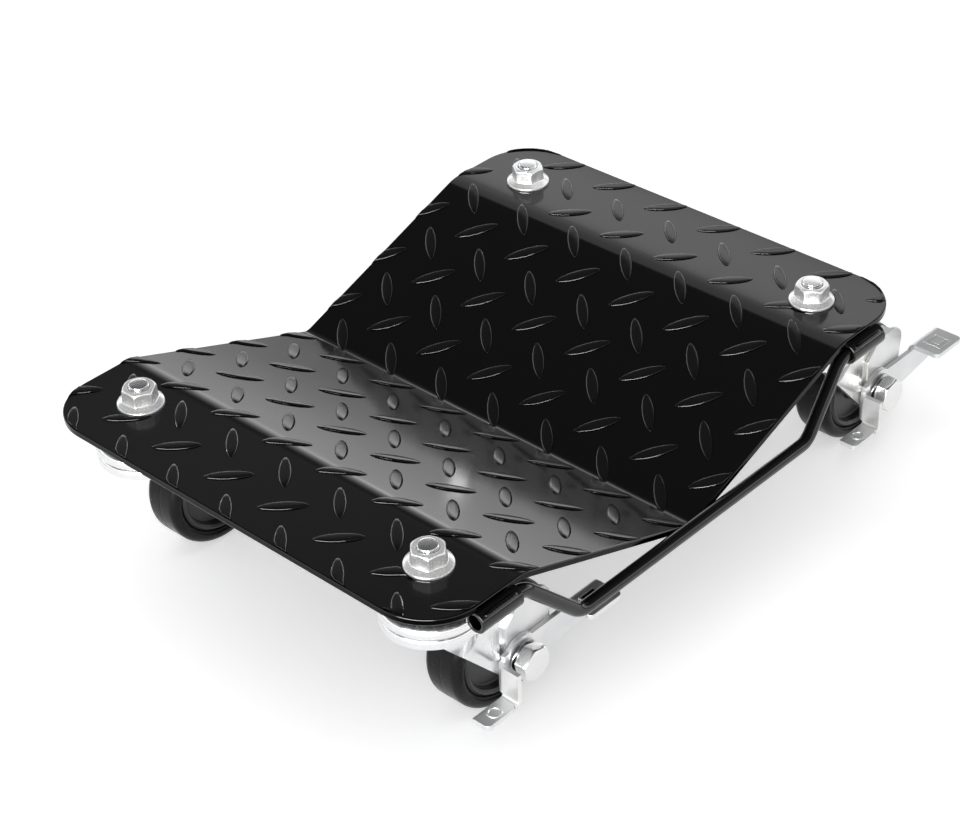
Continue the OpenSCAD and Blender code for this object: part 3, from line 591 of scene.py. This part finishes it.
rubber, shader, s = finish_of("black_moulded_rubber", {"IOR": 1.5, "Specular IOR Level": 0.14})
flow, grain = s.noise(60, 4), s.noise(1500, 2)
feed(s, shader,
     Base_Color=flow.between(0.3, 0.7).blend((0.0045, 0.0045, 0.005), (0.009, 0.009, 0.0095)),
     Roughness=0.2 + flow.between(0.3, 0.75) * 0.12 + grain * 0.05,
     Normal=s.node("Bump", {}, {"Strength": 0.2, "Distance": 0.03 * MM, "Height": grain}))
core_black, shader, s = finish_of("black_moulded_plastic", {"IOR": 1.5})
flow, grain = s.noise(45, 3), s.noise(2200, 2)
feed(s, shader,
     Base_Color=flow.between(0.3, 0.7).blend((0.006, 0.006, 0.0065), (0.012, 0.012, 0.0125)),
     Roughness=0.3 + flow.between(0.3, 0.75) * 0.12,
     Normal=s.node("Bump", {}, {"Strength": 0.2, "Distance": 0.03 * MM, "Height": grain}))

tyre_profile = both_faces([(30.05, 10.9), (31.5, 10.95), (31.85, 11.3), (31.95, 12.1),
                           *arc((33, 7.5), 5, 98, 4, 12),
                           (37.95, 6.5), (37.98, 4), (37.98, 0.55), (37.86, 0.35), (37.86, 0.1)])
centre_profile = both_faces([(8.1, 15.2), (8.6, 15.7), (11.4, 15.7), (11.95, 15.2), (12.5, 7.2), (13.4, 6.05),
                             (24.9, 6), (25.8, 6.6), (26.15, 10.2), (26.6, 10.9), (27.1, 11.1),
                             *arc((28, 11), 0.9, 160, 20, 7), (28.95, 11.05), (29.5, 10.9), (29.95, 10.4)])
tube_profile = both_faces([(6.15, 15.9), (7.7, 15.9), (8, 15.6)])
for corner in casters:
    for name, profile, finish, body, slot, node, sides in (
            ("moulded_tyre_", tyre_profile, rubber, "wheel_", "black_rubber", "tyre_", 96),
            ("wheel_centre_", centre_profile, core_black, "wheel_", "black_polymer", "wheel_core_", 96),
            ("axle_tube_", tube_profile, bright_zinc, "swivel_", "bright_zinc", "hub_sleeve_", 48)):
        p, f = turned(profile, sides)
        outward = [face[::-1] for face in f]
        add_piece(name + corner, on_axle(p, corner), outward, finish, body + corner, slot, node + corner)


# Axles: a 12 mm hexagon bolt through both legs, its washer-faced head towards the handle, and a lock nut
# with a rounded collar that grips the thread.

# Where a bolt head seats: on the wave spring of a braked caster, on the leg of a plain one
spring_face, leg_face = 27.1 * MM, 19 * MM
axle_turns, nut_lead, axle_end, axle_thread_l = (12, 41, 3, 22), 25, 22 * MM, 8.1 * MM
lock_nut_rows = [(9.4, 0, 0), (10.3, 0.3, 1), (10.8, 0.9, 1), (10.8, 6.4, 1), (10.4, 7, 1), (9.5, 7.4, 1),
                 (8.9, 7.7, 0), (8.7, 8.4, 0), (8.4, 9.3, 0), (7.8, 9.85, 0), (7.1, 10, 0)]
lock_nut_bore = [(6.4, 9.9), (6.05, 9.5), (6.05, 0.3)]
for (corner, (x, y)), turn in zip(casters.items(), axle_turns):
    seat = spring_face if y < 0 else leg_face
    head, head_faces = hex_part(head_rows, hex_flats)
    shank = turned(np.array([(5.95, -seat / MM - 0.5), (5.95, 26)]) * MM, 40, wrap=False)
    stud, stud_faces = thread(thread_r, axle_thread_l, thread_pitch)
    bolt, f = joined([(on_axle(turn_z(head, turn) + [0, 0, seat], corner, -1), head_faces),
                      (on_axle(shank[0], corner), shank[1]),
                      (on_axle(stud + [0, 0, axle_end], corner), stud_faces)])
    body = "swivel_" + corner
    add_piece("wheel_bolt_" + corner, bolt, f, bright_zinc, body, "bright_zinc", "axle_bolt_" + corner)
    p, f = hex_part(lock_nut_rows, hex_flats, lock_nut_bore)
    p = on_axle(turn_z(p, turn + nut_lead) + [0, 0, leg_face], corner)
    add_piece("lock_nut_" + corner, p, f, bright_zinc, body, "bright_zinc", "axle_nut_" + corner)


# Side brakes: a cam plate beside the leg and a rocker lever with two foot pedals, blanked and folded
# from steel sheet and barrel plated in a duller zinc, under a wave spring that keeps them tight.

dull_zinc, shader, s = finish_of("barrel_plated_zinc", {"Metallic": 0.84})
cloud, scratch, grain = s.noise(30, 4), s.noise(420, 3, (0.2, 1, 1)), s.noise(2400, 2)
feed(s, shader,
     Base_Color=cloud.between(0.35, 0.65).blend((0.66, 0.67, 0.68), (0.77, 0.77, 0.76)),
     Roughness=0.32 + scratch.between(0.35, 0.8) * 0.14 + grain * 0.05,
     Normal=s.node("Bump", {}, {"Strength": 0.35, "Distance": 0.03 * MM, "Height": scratch + grain * 0.4}))

wave_h, waves = 0.6 * MM, 3
ring_profile = np.array([(6.3, 25.75), (6.5, 25.65), (10.3, 25.65), (10.5, 25.75),
                         (10.5, 26.35), (10.3, 26.45), (6.5, 26.45), (6.3, 26.35)]) * MM
for corner in ("left_brake", "right_brake"):
    softened("brake_cam_" + corner, dull_zinc, "brake_ear_" + corner, 0.5 * MM)
    softened("brake_lever_" + corner, dull_zinc, "foot_lever_" + corner, 0.5 * MM)
    p, f = turned(ring_profile, 72)
    p[:, 2] += wave_h * np.cos(waves * np.arctan2(p[:, 1], p[:, 0]))
    add_piece("wave_spring_" + corner, on_axle(p, corner, -1), f, bearing_steel, "swivel_" + corner,
              "bearing_steel", "brake_spring_" + corner)


# Studio: a seamless pale paper floor in a tent whose walls are bright low down and dark from 25 degrees
# up. Two large soft banks light the floor and all that is dull. Two low panels show only as reflections
# in the far flange and its bend, and one long strip only on edges and rounds.

floor_mesh = bpy.data.meshes.new("studio_floor")
half = 60.0
floor_corners = [(-half, -half, 0), (half, -half, 0), (half, half, 0), (-half, half, 0)]
floor_mesh.from_pydata(floor_corners, [], [(0, 1, 2, 3)])
floor_paper, shader, s = finish_of("floor_paper", {"Roughness": 0.9, "Specular IOR Level": 0.1,
                                                 "Emission Color": (1, 1, 1, 1), "Emission Strength": 0.42})
feed(s, shader, Base_Color=s.noise(3, 2).between(0.3, 0.7).blend((0.88, 0.88, 0.88), (0.9, 0.9, 0.9)))
floor_mesh.materials.append(floor_paper)
floor = bpy.data.objects.new("studio_floor", floor_mesh)
bpy.context.scene.collection.objects.link(floor)

# Brightness of the tent's walls against the sine of the height above the horizon
tent_stops = [(0.058, 0.02), (0.084, 0.2), (0.104, 0.7), (0.2, 0.7), (0.36, 0.2), (0.44, 0.03), (0.5, 0.03),
              (0.57, 0.08), (0.72, 0.025)]
world = bpy.data.worlds.new("tent")
bpy.context.scene.world = world
world.use_nodes = True
sky = Shade(world.node_tree)
up = sky.node("SeparateXYZ", {}, {0: sky.node("TexCoord", output=0)}, 2)
glow = sky.node("ValToRGB", {"stops": tent_stops}, {0: up})
background = world.node_tree.nodes["Background"]
world.node_tree.links.new(glow.socket, background.inputs["Color"])
background.inputs["Strength"].default_value = 3.2


def soft_lamp(name, place, target, size, power, mirrored):
    """A rectangular lamp that the camera never sees. A mirrored one shows only as a reflection, and any
    other lights only what is dull."""
    lamp = bpy.data.lights.new(name, "AREA")
    lamp.shape = "RECTANGLE"
    lamp.size, lamp.size_y = size
    lamp.energy = power
    holder = bpy.data.objects.new(name, lamp)
    bpy.context.scene.collection.objects.link(holder)
    towards = Vector(target) - Vector(place)
    holder.rotation_mode = "QUATERNION"
    holder.rotation_quaternion = towards.to_track_quat("-Z", "Y")
    holder.location = place
    holder.visible_glossy = mirrored
    holder.visible_diffuse = not mirrored
    holder.visible_camera = False


soft_lamp("overhead_bank", (-0.3, 0.2, 2.1), (0, 0, 0), (3.0, 3.0), 30, False)
soft_lamp("side_bank", (-1.8, -1.5, 1.4), (0, 0, 0.05), (1.6, 1.6), 18, False)
soft_lamp("flange_panel", (0.293, 0.095, 0.2), (0.293, 0.095, 0), (0.074, 0.41), 0.12, True)
soft_lamp("bend_panel", (0.208, 0.095, 0.2), (0.208, 0.095, 0), (0.096, 0.41), 0.07, True)
soft_lamp("edge_strip", (-1.5, -0.6, 0.5), (0, 0, 0.1), (1.5, 0.5), 70, True)


# Camera: the photograph's direction and distance, as fitted to the deck nuts and the plate's corners,
# with the frame centred on this one dolly

azimuth, elevation, roll = math.radians(-46.1), math.radians(34.84), math.radians(-2.27)
distance, focal_px, image_w, sensor_w = 1.3889, 2370, 973, 36
aim = Vector((0.004, 0.004, 0.066))
level = math.cos(elevation)
back = Vector((math.sin(azimuth) * level, -math.cos(azimuth) * level, math.sin(elevation)))
flat_right = Vector((math.cos(azimuth), math.sin(azimuth), 0))
upright = back.cross(flat_right)
right = flat_right * math.cos(roll) + upright * math.sin(roll)
above = upright * math.cos(roll) - flat_right * math.sin(roll)
camera = bpy.data.cameras.new("camera")
camera.sensor_width = sensor_w
camera.lens = focal_px * sensor_w / image_w
camera.clip_start = 0.05
camera.clip_end = 30
viewer = bpy.data.objects.new("camera", camera)
bpy.context.scene.collection.objects.link(viewer)
facing = Matrix((right, above, back)).transposed().to_4x4()
viewer.matrix_world = Matrix.Translation(aim + back * distance) @ facing
bpy.context.scene.camera = viewer
bpy.context.scene.view_settings.view_transform = "Standard"
